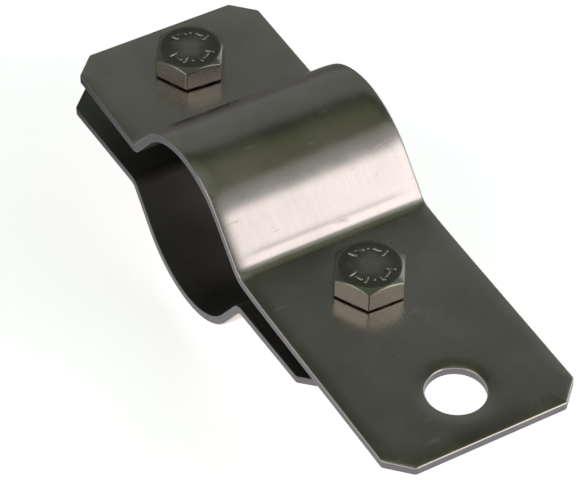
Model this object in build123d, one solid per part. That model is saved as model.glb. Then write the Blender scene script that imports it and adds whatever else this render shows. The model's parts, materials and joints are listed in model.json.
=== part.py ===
from build123d import *
import os
from math import cos, radians, sin, sqrt, tan

# Earthing pipe clamp: two folded stainless half shells drawn together round a pipe by two
# hexagon bolts. The upper half runs on into a long tail with a hole for the earth conductor.
#
# Frame, in millimetres: origin on the axis of the pipe seat, midway across the strap.
# +X runs along the pipe, the long tail points to -Y, and the bolt heads face +Z.

# Sheet and pipe seat
sheet_thickness = 2.5
strap_width = 50.0
pipe_diameter = 42.4
upper_seat_play = 0.15
lower_seat_play = 1.05
flank_slope = 51.5
upper_front_fold_radius = 4.0
upper_rear_fold_radius = 1.5
lower_fold_radius = 2.0
flange_face_height = 4.1
lower_half_tilt = 2.8

# Flanges, tail and their holes
fold_to_bolt = 15.35
bolt_to_rear_end = 16.0
bolt_to_lug_hole = 37.5
lug_hole_to_tail_end = 15.0
lug_hole_diameter = 14.0
bolt_to_lower_front_end = 15.5
bolt_to_lower_rear_end = 19.5
bolt_hole_play = 1.0
corner_cut = 5.5
corner_round = 1.2

# Bolts
thread_diameter = 10.0
thread_pitch = 1.5
bolt_length = 30.0
head_flats = 16.0
head_height = 6.4
head_crown_diameter = 14.9
washer_face_diameter = 14.6
washer_face_height = 0.4
front_bolt_turn = -2.0
rear_bolt_turn = -4.3

# Nuts and spring washers
nut_flats = 16.0
nut_height = 8.4
nut_crown_diameter = 15.0
nut_countersink_diameter = 10.9
front_nut_turn = 8.0
rear_nut_turn = -13.0
nut_running_gap = 0.05
spring_washer_diameter = 18.1
spring_washer_thickness = 2.2
spring_washer_running_gap = 0.1
spring_washer_slit = 0.9
spring_washer_slit_slope = 20.0
front_washer_turn = 150.0
rear_washer_turn = 35.0

# Left between faces that press on each other in use
contact_gap = 0.02
# Slope of the cut on the corners of heads and nuts, and how far its blank stands past them
crown_slope = 30.0
crown_blank_margin = 0.02
# Depth of the thread as a share of its pitch, by the metric standard
thread_depth_share = 0.6134

# The folded section. It is a seat arc about the pipe, then on each side a straight flank tangent
# to it and a fold arc that turns from the flank into the flange.
upper_seat_radius = pipe_diameter / 2 + upper_seat_play
lower_seat_radius = pipe_diameter / 2 + lower_seat_play
flank_angle = radians(flank_slope)
flange_middle_z = flange_face_height + sheet_thickness / 2
flange_top_z = flange_face_height + sheet_thickness


def fold_centre(seat_radius, fold_radius):
    """Distance in front or behind and height of the centre of a fold's arc."""
    reach = seat_radius + sheet_thickness + fold_radius
    height = flange_top_z + fold_radius
    flank_drop = reach * cos(flank_angle) - height
    return reach * sin(flank_angle) + flank_drop / tan(flank_angle), height


front_fold_y = fold_centre(upper_seat_radius, upper_front_fold_radius)[0]
bolt_y = front_fold_y + fold_to_bolt
rear_end_y = bolt_y + bolt_to_rear_end
lug_hole_y = bolt_y + bolt_to_lug_hole
tail_end_y = lug_hole_y + lug_hole_to_tail_end
lower_front_end_y = bolt_y + bolt_to_lower_front_end
lower_rear_end_y = bolt_y + bolt_to_lower_rear_end
bolt_hole_diameter = thread_diameter + bolt_hole_play


def skin_points(seat_radius, fold_radius, offset, side):
    """Points of one skin of the section on one side (-1 front, +1 rear), seat to flange.

    They are the ends of the seat arc and of the flank, the fold's middle and the flange's start.
    The skin lies at the given offset from the sheet's middle, positive away from the pipe.
    """
    centre_y, centre_z = fold_centre(seat_radius, fold_radius)
    seat = seat_radius + sheet_thickness / 2 + offset
    fold = fold_radius + sheet_thickness / 2 - offset
    half = flank_angle / 2
    seat_end = (side * seat * sin(flank_angle), seat * cos(flank_angle))
    flank_end = (side * (centre_y - fold * sin(flank_angle)), centre_z - fold * cos(flank_angle))
    fold_middle = (side * (centre_y - fold * sin(half)), centre_z - fold * cos(half))
    flange_start = (side * centre_y, flange_middle_z + offset)
    return seat_end, flank_end, fold_middle, flange_start


def skin_edges(seat_radius, fold_radii, offset, reaches):
    """Lines and arcs of one skin of the section, from the front end to the rear end.

    fold_radii and reaches each give the front one and the rear one.
    """
    front, rear = fold_radii
    front_seat, front_flank, front_fold, front_flange = skin_points(seat_radius, front, offset, -1)
    rear_seat, rear_flank, rear_fold, rear_flange = skin_points(seat_radius, rear, offset, 1)
    crest = (0, seat_radius + sheet_thickness / 2 + offset)
    level = flange_middle_z + offset
    return [
        Line((-reaches[0], level), front_flange),
        ThreePointArc(front_flange, front_fold, front_flank),
        Line(front_flank, front_seat),
        ThreePointArc(front_seat, crest, rear_seat),
        Line(rear_seat, rear_flank),
        ThreePointArc(rear_flank, rear_fold, rear_flange),
        Line(rear_flange, (reaches[1], level)),
    ]


def half_shell(seat_radius, fold_radii, reaches, holes):
    """One strap folded from flat sheet: flange, flanked round seat, flange, with cut corners.

    fold_radii and reaches each give the front one and the rear one, and holes lists
    (y, diameter) of the round holes through the flanges.
    """
    edges = []
    for offset in (sheet_thickness / 2, -sheet_thickness / 2):
        edges += skin_edges(seat_radius, fold_radii, offset, reaches)
    for y in (-reaches[0], reaches[1]):
        edges.append(Line((y, flange_face_height), (y, flange_top_z)))
    section = Plane.YZ * make_face(edges)
    strap = extrude(section, amount=strap_width / 2, both=True)
    strap = chamfer(strap.edges().filter_by(Axis.Z), corner_cut)
    strap = fillet(strap.edges().filter_by(Axis.Z), corner_round)
    for y, diameter in holes:
        punch = Cylinder(diameter / 2, 4 * sheet_thickness)
        strap -= Pos(0, y, flange_middle_z) * punch
    return strap


def upper_strap():
    """Upper half: short flange behind, long tail with the conductor's hole in front."""
    holes = [(bolt_y, bolt_hole_diameter), (-bolt_y, bolt_hole_diameter)]
    holes.append((-lug_hole_y, lug_hole_diameter))
    fold_radii = (upper_front_fold_radius, upper_rear_fold_radius)
    return half_shell(upper_seat_radius, fold_radii, (tail_end_y, rear_end_y), holes)


def lower_strap():
    """Lower half: a slightly wider seat turned over, with two short flanges.

    It is drawn up further in front than behind, so it lies tilted about the pipe.
    """
    holes = [(bolt_y, bolt_hole_diameter), (-bolt_y, bolt_hole_diameter)]
    fold_radii = (lower_fold_radius, lower_fold_radius)
    reaches = (lower_front_end_y, lower_rear_end_y)
    strap = half_shell(lower_seat_radius, fold_radii, reaches, holes)
    return Rot(-lower_half_tilt, 0, 0) * mirror(strap, about=Plane.XY)


def crowned_blank(radius, crown_radius, height, both_ends):
    """Round blank whose sloped ends cut the corners of a hexagon that it is crossed with."""
    drop = (radius - crown_radius) * tan(radians(crown_slope))
    corners = [(0, 0), (0, height), (crown_radius, height), (radius, height - drop)]
    if both_ends:
        corners += [(radius, drop), (crown_radius, 0)]
    else:
        corners += [(radius, 0)]
    return revolve(Plane.XZ * make_face(Polyline(*corners, close=True)), Axis.Z)


def hexagon(flats, crown_diameter, height, both_ends):
    """Hexagon prism on the XY plane with its corners crowned at the top, or at both ends."""
    prism = extrude(RegularPolygon(flats / 2, 6, major_radius=False), amount=height)
    blank_radius = flats / sqrt(3) + crown_blank_margin
    return prism & crowned_blank(blank_radius, crown_diameter / 2, height, both_ends)


def hex_bolt():
    """Fully threaded hexagon bolt, the underside of its head on the XY plane.

    The shank has the thread's outer diameter, and its tip is cut back to the thread's root.
    """
    head = hexagon(head_flats, head_crown_diameter, head_height - washer_face_height, False)
    washer_face = extrude(Circle(washer_face_diameter / 2), amount=washer_face_height)
    shank = extrude(Circle(thread_diameter / 2), amount=-bolt_length)
    shank = chamfer(shank.edges().group_by(Axis.Z)[0], thread_depth_share * thread_pitch)
    return shank + washer_face + Pos(0, 0, washer_face_height) * head


def hex_nut():
    """Hexagon nut with its top face on the XY plane and a plain bore that runs on the thread."""
    bore_radius = thread_diameter / 2 + nut_running_gap
    sink_radius = nut_countersink_diameter / 2
    depth = sink_radius - bore_radius
    bore = extrude(Circle(bore_radius), amount=nut_height)
    sink = Cone(sink_radius, bore_radius, depth, align=(Align.CENTER, Align.CENTER, Align.MIN))
    top_sink = Pos(0, 0, nut_height) * Rot(180, 0, 0) * sink
    body = hexagon(nut_flats, nut_crown_diameter, nut_height, True) - bore - sink - top_sink
    return Pos(0, 0, -nut_height) * body


def spring_washer():
    """Split spring washer pressed flat, with its top face on the XY plane."""
    outer = Circle(spring_washer_diameter / 2)
    inner = Circle(thread_diameter / 2 + spring_washer_running_gap)
    ring = extrude(outer - inner, amount=-spring_washer_thickness)
    slit_length = spring_washer_diameter / 2
    saw = Box(slit_length, spring_washer_slit, 4 * spring_washer_thickness)
    saw = Rot(spring_washer_slit_slope, 0, 0) * saw
    return ring - Pos(slit_length / 2, 0, -spring_washer_thickness / 2) * saw


def lower_face_z(y):
    """Height of the lower half's underside at y, with its tilt."""
    slope = radians(lower_half_tilt)
    return -flange_top_z / cos(slope) - y * tan(slope)


def washer_top_z(y):
    """Where the spring washer under a bolt at y first meets the tilted underside."""
    return lower_face_z(y + spring_washer_diameter / 2) - contact_gap


def place_bolt(y, turn):
    """Bolt with its head on the upper flange at y, turned to where the spanner left it."""
    return Pos(0, y, flange_top_z + contact_gap) * Rot(0, 0, turn) * hex_bolt()


def place_washer(y, turn):
    """Spring washer under the lower flange at y."""
    return Pos(0, y, washer_top_z(y)) * Rot(0, 0, turn) * spring_washer()


def place_nut(y, turn):
    """Nut under the spring washer at y."""
    top = washer_top_z(y) - spring_washer_thickness - contact_gap
    return Pos(0, y, top) * Rot(0, 0, turn) * hex_nut()


nodes = {
    "upper_strap": upper_strap(),
    "lower_strap": lower_strap(),
    "front_bolt": place_bolt(-bolt_y, front_bolt_turn),
    "rear_bolt": place_bolt(bolt_y, rear_bolt_turn),
    "front_spring_washer": place_washer(-bolt_y, front_washer_turn),
    "rear_spring_washer": place_washer(bolt_y, rear_washer_turn),
    "front_nut": place_nut(-bolt_y, front_nut_turn),
    "rear_nut": place_nut(bolt_y, rear_nut_turn),
}

os.makedirs("parts", exist_ok=True)
for name, solid in nodes.items():
    export_step(solid, f"parts/{name}.step")

# Sizes that the joints' ranges follow: the flanges meet in front when the bolts are done up,
# and the rear nut is level with its bolt's tip when they are slack.
lower_front_top_z = lower_face_z(-lower_front_end_y) + sheet_thickness / cos(radians(lower_half_tilt))
front_gap = flange_face_height - lower_front_top_z
rear_nut_bottom = washer_top_z(bolt_y) - spring_washer_thickness - contact_gap - nut_height
print("seat radii", round(upper_seat_radius, 3), round(lower_seat_radius, 3))
print("front fold y", round(front_fold_y, 3), "bolt y", round(bolt_y, 3))
print("lug hole y", round(-lug_hole_y, 3), "tail end y", round(-tail_end_y, 3))
print("front gap", round(front_gap, 3))
print("rear nut to tip", round(rear_nut_bottom - (flange_top_z - bolt_length), 3))
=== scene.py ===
import json
import math

import bmesh
import bpy
from bpy.props import FloatProperty, FloatVectorProperty, PointerProperty
from mathutils import Euler, Matrix, Vector, geometry


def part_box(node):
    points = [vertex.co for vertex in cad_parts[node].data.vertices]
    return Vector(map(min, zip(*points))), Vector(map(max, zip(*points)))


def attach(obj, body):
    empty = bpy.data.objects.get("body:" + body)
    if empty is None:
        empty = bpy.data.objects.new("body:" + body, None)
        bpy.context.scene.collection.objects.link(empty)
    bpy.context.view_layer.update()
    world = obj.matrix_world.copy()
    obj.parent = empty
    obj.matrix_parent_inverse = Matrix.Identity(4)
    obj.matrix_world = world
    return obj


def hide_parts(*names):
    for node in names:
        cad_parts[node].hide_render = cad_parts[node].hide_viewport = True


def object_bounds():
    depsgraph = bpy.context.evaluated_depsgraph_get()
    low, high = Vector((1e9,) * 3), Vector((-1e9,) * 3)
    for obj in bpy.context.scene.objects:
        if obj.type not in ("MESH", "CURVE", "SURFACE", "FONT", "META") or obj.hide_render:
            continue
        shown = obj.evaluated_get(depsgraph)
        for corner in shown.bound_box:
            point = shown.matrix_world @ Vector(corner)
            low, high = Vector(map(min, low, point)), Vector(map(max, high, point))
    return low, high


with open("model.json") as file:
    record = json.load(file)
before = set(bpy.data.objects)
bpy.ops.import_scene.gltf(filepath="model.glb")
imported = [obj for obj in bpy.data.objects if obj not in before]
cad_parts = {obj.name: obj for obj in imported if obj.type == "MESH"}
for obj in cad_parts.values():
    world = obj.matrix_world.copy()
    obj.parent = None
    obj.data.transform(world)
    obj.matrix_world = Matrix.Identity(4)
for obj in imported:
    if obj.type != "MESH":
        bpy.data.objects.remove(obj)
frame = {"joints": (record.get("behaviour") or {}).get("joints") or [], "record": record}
cad_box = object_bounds()

bl_info = {
    "name": "Earthing Pipe Clamp",
    "version": (1, 0, 0),
    "blender": (4, 5, 0),
    "location": "View3D > Sidebar > Pipe Clamp",
    "description": "Dresses an earthing pipe clamp of folded stainless sheet and sets its studio",
    "category": "Object",
}

MM = 0.001
MOUNTS = {mount["name"]: mount for mount in frame["record"]["mounts"]}
JOINTS = {joint["name"]: joint for joint in frame["joints"]}
BOLT_Y = {end: JOINTS[end + "_bolt_turn"]["pos_m"][1] for end in ("front", "rear")}
SLIDE_OUT = JOINTS["lower_half_slide"]["range_m"][1]

# How far apart the points of a strap lie, close enough for it to shine smoothly, and how many go
# round a hole and into a corner's arc
SEAT_STEP = math.radians(2.5)
FOLD_STEP = math.radians(5)
FLAT_STEP = 4.0 * MM
RIDGE_STEP = 0.45 * MM
HOLE_POINTS = 72
ARC_STEPS = 5

# How far from a bend the first cross row of a flat stretch lies
BEND_EASE = 0.8 * MM

# The folding tool's mark: how far above the fold it lies, its half width, and its fade at the sides
RIDGE_SETBACK = 1.5 * MM
RIDGE_REACH = 0.95 * MM
RIDGE_MARGIN = 2.4 * MM

# How far in from the edges the rings of points lie: shares of the arris's radius, then shares of the
# width of the band that shearing draws down, the last two round the holes and along the sides only
ARRIS_RINGS = (0, 0.1, 0.35, 0.7, 1, 1.8)
BAND_RINGS = (0.15, 0.24, 0.36)
LAST_RINGS = (0.72, 1.15)

# How far from an edge and from a hole a point of the cross rows lies at least, in widths of that band
EDGE_CLEARANCE = 0.6
HOLE_CLEARANCE = 1.5

# Where rings of points lie down a sheared wall
WALL_SHARES = (0.08, 0.36, 0.5, 0.92)

# Places of materials in the list of a strap and of a bolt
CUT_EDGE_INDEX, INNER_SKIN_INDEX = 1, 2
PRESSED_TOP_INDEX = 1

# Half of a hexagon's sector, and where its side has points, counted from a corner
HALF_SECTOR = math.radians(30)
CORNER_OFFSETS = [math.radians(d) for d in (0, 0.7, 1.4, 2.4, 6, 14, 22, 30)]

# One turn of the thread: places along the pitch, and the share of the full depth cut there. The full
# depth is a share of the pitch, and the thread runs out over some pitches under the head.
THREAD_PROFILE = [(-0.085, 0.05), (-0.045, 0), (0.045, 0), (0.085, 0.05), (0.4, 0.94), (0.5, 1), (0.6, 0.94)]
THREAD_DEPTH_SHARE = 0.6134
THREAD_RUNOUT_PITCHES = 2

# Share of the thread's depth by which the plain neck under the head is thinner than the thread
NECK_SHARE = 0.45

# The raised strokes on a head, in two arcs: first angle, how many and the angle between them, and how
# far each leans from the outward direction, all in degrees
STROKE_ARCS = ((190, 7, 21), (18, 5, 24))
STROKE_LEANS = (8, 82, -10, 74, 12, -80, 6)
STROKE_RADIUS = 5.0 * MM
STROKE_HALF_LENGTH = 0.8 * MM
STROKE_END_STEPS = 6

# The sides of a stroke: half its width, at shares of its height
STROKE_SIDES = [(0.45 * MM, 0), (0.38 * MM, 0), (0.29 * MM, 0.8), (0.18 * MM, 1)]

# Spring washers: places round the ring, steps round an edge, and how round an edge is, in edge rounds
WASHER_STATIONS = 96
WASHER_EDGE_STEPS = 3
WASHER_EDGE_SHARE = 1.6

# How strongly large faces rule the smooth normals, of 100
FLAT_WEIGHT = 80

# How the steels' noise is squeezed by axis: for grain along a strap, down a sheared wall, or none
ALONG_STRAP = (1, 0.03, 0.03)
DOWN_WALL = (1, 1, 0.25)
EVEN = (1, 1, 1)

# The steels' unevenness. Scales are per metre, and limits are the values that a pattern runs between.
NOISE_ROUGHNESS = 0.6
GRAIN_ROUGHNESS = 0.04
CLOUD_SCALE = 60
CLOUD_LIMITS = (0.3, 0.7)
CLOUD_SHADE = 0.8
CLOUD_ROUGHNESS = 0.03
SPECK_SCALE = 38
SPECK_LIMITS = (0.006, 0.016)
SCUFF_SQUEEZE = (0.22, 1, 1)
SCUFF_SCALE = 500
SCUFF_LIMITS = (0.66, 0.74)
SCUFF_ROUGHNESS = 0.12

# A Mix node's sockets share their names, so they go by number: both inputs and the result
MIX_SOCKETS = {"FLOAT": (2, 3, 0), "RGBA": (6, 7, 2)}

# The lighter middle of a head's top: the radii between which it fades, and the blotches that fray it
MIDDLE_FADE = (1.4 * MM, 5.4 * MM)
BLOTCH_SCALE = 420
BLOTCH_LIMITS = (0.25, 0.75)
BLOTCH_REACH = 1.6 * MM

# The floor's radius, points and glow. In the metal's reflections it falls off to a share, between
# two distances behind the seat's axis.
FLOOR_RADIUS = 3
FLOOR_POINTS = 96
FLOOR_GLOW = 0.72
FLOOR_FALL = (0.02, 0.1)
FLOOR_FALL_SHARE = 0.12

# Each lamp's place, its width and height, its radiance and its colour. They all face the seat's middle.
LAMPS = {
    "Front lamp": ((0.66, -1.05, 0.46), (0.8, 1.05), 1.42, (1, 0.975, 0.98)),
    "Front glow": ((0.72, -0.93, 0.72), (1.0, 1.65), 0.36, (0.88, 1, 0.96)),
    "Left lamp": ((-0.5, -0.1, 0.48), (0.42, 0.42), 1.1, (1, 1, 1)),
    "Right lamp": ((1.4, 0.2, 0.7), (1.0, 0.8), 0.9, (0.9, 0.95, 1)),
}

# The camera's sensor, in millimetres, and how near and how far it sees
SENSOR_WIDTH = 36
CLIP = (0.01, 20)


class StrapSizes(bpy.types.PropertyGroup):
    """Sizes of the two folded straps."""

    seat_radius: FloatProperty(
        name="Seat Radius",
        description="Inside radius of the upper half's seat",
        default=MOUNTS["pipe_seat"]["dims"]["r_mm"] * MM,
        unit="LENGTH",
    )
    lower_seat_radius: FloatProperty(
        name="Lower Seat Radius",
        description="Inside radius of the lower half's seat",
        default=22.25 * MM,
        unit="LENGTH",
    )
    width: FloatProperty(
        name="Strap Width",
        description="Width of both straps along the seat",
        default=MOUNTS["pipe_seat"]["dims"]["length_mm"] * MM,
        unit="LENGTH",
    )
    sheet: FloatProperty(
        name="Sheet Thickness",
        description="Thickness of the steel sheet",
        default=MOUNTS["lug_hole"]["dims"]["length_mm"] * MM,
        unit="LENGTH",
    )
    flange_face_height: FloatProperty(
        name="Flange Face Height",
        description="Height of the flanges' inner face above the seat's axis",
        default=MOUNTS["tail_under_face"]["pos_m"][2],
        unit="LENGTH",
    )
    front_flank_slope: FloatProperty(
        name="Front Flank Slope",
        description="Slope of the upper half's front flank between the seat and the fold",
        default=math.radians(45.6),
        subtype="ANGLE",
    )
    flank_slope: FloatProperty(
        name="Flank Slope",
        description="Slope of the other straight flanks between a seat and a fold",
        default=math.radians(51.5),
        subtype="ANGLE",
    )
    fold_ease: FloatProperty(
        name="Fold Ease",
        description="Slope at which the front fold runs out into its flange",
        default=math.radians(5.0),
        subtype="ANGLE",
    )
    fold_ease_length: FloatProperty(
        name="Fold Ease Length",
        description="How far along the flange the front fold's run-out fades",
        default=5.0 * MM,
        unit="LENGTH",
    )
    ridge_height: FloatProperty(
        name="Ridge Height",
        description="How far the folding tool's mark stands on the front flank, just above the fold",
        default=0.07 * MM,
        unit="LENGTH",
        precision=5,
    )
    front_fold_radius: FloatProperty(
        name="Front Fold Radius",
        description="Radius of the upper half's front fold, in its hollow",
        default=4.3 * MM,
        unit="LENGTH",
    )
    rear_fold_radius: FloatProperty(
        name="Rear Fold Radius",
        description="Radius of the upper half's rear fold, in its hollow",
        default=1.5 * MM,
        unit="LENGTH",
    )
    lower_fold_radius: FloatProperty(
        name="Lower Fold Radius",
        description="Radius of both folds of the lower half, in their hollow",
        default=2.0 * MM,
        unit="LENGTH",
    )
    corner_cut: FloatProperty(
        name="Corner Cut",
        description="Length cut off each side of a flange's corner",
        default=5.5 * MM,
        unit="LENGTH",
    )
    corner_round: FloatProperty(
        name="Corner Round",
        description="Radius at both ends of a corner cut",
        default=1.2 * MM,
        unit="LENGTH",
    )
    bolt_hole_radius: FloatProperty(
        name="Bolt Hole Radius",
        description="Radius of the holes that the bolts pass",
        default=5.5 * MM,
        unit="LENGTH",
    )
    lower_tilt: FloatProperty(
        name="Lower Half Tilt",
        description="Tilt of the lower half about the seat's axis, drawn up further in front",
        default=math.radians(2.8),
        subtype="ANGLE",
    )
    edge_roll_depth: FloatProperty(
        name="Edge Roll Depth",
        description="How far shearing has drawn the outer skin down at its edges",
        default=0.26 * MM,
        unit="LENGTH",
        precision=5,
    )
    edge_roll_width: FloatProperty(
        name="Edge Roll Width",
        description="Width of the band along an edge that shearing has drawn down",
        default=3.0 * MM,
        unit="LENGTH",
    )
    arris_radius: FloatProperty(
        name="Arris Radius",
        description="Rounding of the sheared edges, worn by handling",
        default=0.28 * MM,
        unit="LENGTH",
        precision=5,
    )


class FastenerSizes(bpy.types.PropertyGroup):
    """Sizes of the bolts, nuts and spring washers."""

    thread_radius: FloatProperty(
        name="Thread Radius",
        description="Outer radius of the bolts' thread",
        default=5.0 * MM,
        unit="LENGTH",
    )
    thread_pitch: FloatProperty(
        name="Thread Pitch",
        description="Rise of the thread in one turn",
        default=1.5 * MM,
        unit="LENGTH",
    )
    flats: FloatProperty(
        name="Width Across Flats",
        description="Spanner size of the heads and nuts",
        default=16.0 * MM,
        unit="LENGTH",
    )
    head_height: FloatProperty(
        name="Head Height",
        description="Height of a bolt's head with its washer face",
        default=6.4 * MM,
        unit="LENGTH",
    )
    head_crown_radius: FloatProperty(
        name="Head Crown Radius",
        description="Radius of the flat top inside a head's sloped corners",
        default=7.45 * MM,
        unit="LENGTH",
    )
    washer_face_radius: FloatProperty(
        name="Washer Face Radius",
        description="Radius of the round face under a head",
        default=7.3 * MM,
        unit="LENGTH",
    )
    washer_face_height: FloatProperty(
        name="Washer Face Height",
        description="Height of the round face under a head",
        default=0.4 * MM,
        unit="LENGTH",
    )
    crown_slope: FloatProperty(
        name="Crown Slope",
        description="Slope of the cut on the corners of heads and nuts",
        default=math.radians(30),
        subtype="ANGLE",
    )
    corner_radius: FloatProperty(
        name="Hexagon Corner Radius",
        description="Rounding of the upright corners of heads and nuts",
        default=0.45 * MM,
        unit="LENGTH",
        precision=5,
    )
    edge_round: FloatProperty(
        name="Edge Round",
        description="Rounding of the other edges of heads, nuts and washers",
        default=0.18 * MM,
        unit="LENGTH",
        precision=5,
    )
    mark_height: FloatProperty(
        name="Mark Height",
        description="How far the raised strokes stand on a head",
        default=0.36 * MM,
        unit="LENGTH",
        precision=5,
    )
    nut_bore_radius: FloatProperty(
        name="Nut Bore Radius",
        description="Radius of a nut's bore past the bolt's thread",
        default=5.05 * MM,
        unit="LENGTH",
        precision=5,
    )
    nut_sink_radius: FloatProperty(
        name="Nut Countersink Radius",
        description="Radius of the sloped mouth of a nut's bore",
        default=5.45 * MM,
        unit="LENGTH",
        precision=5,
    )
    nut_crown_radius: FloatProperty(
        name="Nut Crown Radius",
        description="Radius of a nut's flat faces inside the sloped corners",
        default=7.5 * MM,
        unit="LENGTH",
    )
    washer_inner_radius: FloatProperty(
        name="Spring Washer Inner Radius",
        description="Inner radius of the spring washers",
        default=5.1 * MM,
        unit="LENGTH",
    )
    washer_slit: FloatProperty(
        name="Spring Washer Slit",
        description="Width of the slit through a spring washer",
        default=0.9 * MM,
        unit="LENGTH",
    )
    washer_slit_slope: FloatProperty(
        name="Slit Slope",
        description="Lean of the slit from upright",
        default=math.radians(20),
        subtype="ANGLE",
    )
    bolt_turns: FloatVectorProperty(
        name="Bolt Turns",
        description="Turn of the front and the rear bolt about their axes",
        default=(math.radians(-2), math.radians(-4.3)),
        size=2,
        unit="ROTATION",
    )
    nut_turns: FloatVectorProperty(
        name="Nut Turns",
        description="Turn of the front and the rear nut about their axes",
        default=(math.radians(8), math.radians(-13)),
        size=2,
        unit="ROTATION",
    )
    washer_turns: FloatVectorProperty(
        name="Spring Washer Turns",
        description="Turn of the front and the rear spring washer's slit",
        default=(math.radians(150), math.radians(35)),
        size=2,
        unit="ROTATION",
    )


class Finishes(bpy.types.PropertyGroup):
    """Colours and smoothness of the steels."""

    strap_colour: FloatVectorProperty(
        name="Strap Colour",
        description="Colour of the cold rolled sheet",
        default=(0.66, 0.565, 0.545),
        subtype="COLOR",
    )
    strap_roughness: FloatProperty(
        name="Strap Roughness",
        description="Roughness of the sheet's satin skin",
        default=0.245,
        min=0.0,
        max=1.0,
        subtype="FACTOR",
    )
    # The inner skin's dark colour is painted shade, for the gap between the flanges and inside the clamp
    shaded_inner_colour: FloatVectorProperty(
        name="Inner Skin Colour",
        # Colour of the sheet's dull inner skin, darkened as painted shade for the gap between the flanges
        description="Colour of the sheet's dull inner skin, dark with what is left from drawing",
        default=(0.20, 0.185, 0.175),
        subtype="COLOR",
    )
    # The sheared walls' dark colour is partly the torn steel's own and partly painted shade
    cut_and_shade_colour: FloatVectorProperty(
        name="Cut Edge Colour",
        # Colour of the sheared walls of the sheet, dark partly for the torn steel and partly as painted
        # shade
        description="Colour of the sheared walls of the sheet",
        default=(0.225, 0.21, 0.22),
        subtype="COLOR",
    )
    bolt_colour: FloatVectorProperty(
        name="Bolt Colour",
        description="Colour of the cold formed bolts and nuts",
        default=(0.35, 0.342, 0.28),
        subtype="COLOR",
    )
    top_colour: FloatVectorProperty(
        name="Head Top Colour",
        description="Colour of the bolt heads' dark tops",
        default=(0.26, 0.222, 0.19),
        subtype="COLOR",
    )
    middle_colour: FloatVectorProperty(
        name="Head Middle Colour",
        description="Colour of the lighter middle of the bolt heads' tops",
        default=(0.48, 0.425, 0.40),
        subtype="COLOR",
    )
    washer_colour: FloatVectorProperty(
        name="Washer Colour",
        description="Colour of the spring washers",
        default=(0.55, 0.52, 0.49),
        subtype="COLOR",
    )


class StudioSettings(bpy.types.PropertyGroup):
    """Camera, floor and room."""

    lens: FloatProperty(
        name="Lens",
        description="Focal length on a sensor 36 mm wide, in millimetres",
        default=197.55,
        unit="CAMERA",
    )
    camera_place: FloatVectorProperty(
        name="Camera Place",
        description="Where the camera stands",
        default=(-0.27325, -0.47013, 0.52888),
        subtype="TRANSLATION",
    )
    azimuth: FloatProperty(
        name="Azimuth",
        description="Camera's angle round the clamp, 0 looking along +Y",
        default=math.radians(-30.535),
        subtype="ANGLE",
    )
    elevation: FloatProperty(
        name="Elevation",
        description="Camera's angle above the floor",
        default=math.radians(45.073),
        subtype="ANGLE",
    )
    roll: FloatProperty(
        name="Roll",
        description="Turn of the camera about its own line of sight",
        default=math.radians(0.866),
        subtype="ANGLE",
    )
    floor_colour: FloatVectorProperty(
        name="Floor Colour",
        description="Colour of the floor",
        default=(0.93, 0.93, 0.93),
        subtype="COLOR",
    )
    horizon_colour: FloatVectorProperty(
        name="Horizon Colour",
        description="Light that comes from the dim room level with the floor",
        default=(0.19, 0.215, 0.20),
        subtype="COLOR",
    )
    wall_colour: FloatVectorProperty(
        name="Wall Colour",
        description="Light that comes from high up the dim room's walls",
        default=(0.145, 0.174, 0.155),
        subtype="COLOR",
    )
    cornice_colour: FloatVectorProperty(
        name="Cornice Colour",
        description="Light that comes from the darkest band, where the walls meet the ceiling",
        default=(0.025, 0.035, 0.022),
        subtype="COLOR",
    )
    slope_colour: FloatVectorProperty(
        name="Ceiling Edge Colour",
        description="Light that comes from the edge of the ceiling",
        default=(0.128, 0.155, 0.078),
        subtype="COLOR",
    )
    ceiling_colour: FloatVectorProperty(
        name="Ceiling Colour",
        description="Light that comes from the middle of the ceiling",
        default=(0.20, 0.24, 0.225),
        subtype="COLOR",
    )


SETTINGS = {
    "clamp_straps": StrapSizes,
    "clamp_fasteners": FastenerSizes,
    "clamp_finishes": Finishes,
    "clamp_studio": StudioSettings,
}


def steps(start, stop, step):
    """Even positions from start up to but without stop, no further apart than step."""
    count = math.ceil((stop - start) / step)
    return [start + (stop - start) * k / count for k in range(count)]


def flat_steps(start, stop):
    """Positions along a flat stretch between two bends, with one close to each bend."""
    return [start] + steps(start + BEND_EASE, stop - BEND_EASE, FLAT_STEP) + [stop - BEND_EASE]


def polar(radius, angle, height):
    """Point at a radius and an angle about the Z axis."""
    return Vector((radius * math.cos(angle), radius * math.sin(angle), height))


def triangles_over(points, loops):
    """Triangles over points on a plane, as point numbers, that keep the edges of closed loops."""
    scaled = [Vector(p) / MM for p in points]
    edges = [pair for loop in loops for pair in zip(loop, loop[1:] + loop[:1])]
    merge_distance = 1e-6
    made = geometry.delaunay_2d_cdt(scaled, edges, [], 0, merge_distance)
    faces, origins = made[2], made[3]
    return [[origins[v][0] for v in face] for face in faces]


def add_piece(name, bm, body, node, materials):
    """Makes a bmesh into a piece that rides on a body and stands for a CAD node."""
    bmesh.ops.recalc_face_normals(bm, faces=bm.faces)
    mesh = bpy.data.meshes.new(name)
    bm.to_mesh(mesh)
    bm.free()
    mesh.shade_smooth()
    for material in materials:
        mesh.materials.append(material)
    piece = bpy.data.objects.new(name, mesh)
    bpy.context.scene.collection.objects.link(piece)
    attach(piece, body)
    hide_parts(node)
    return piece


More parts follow.
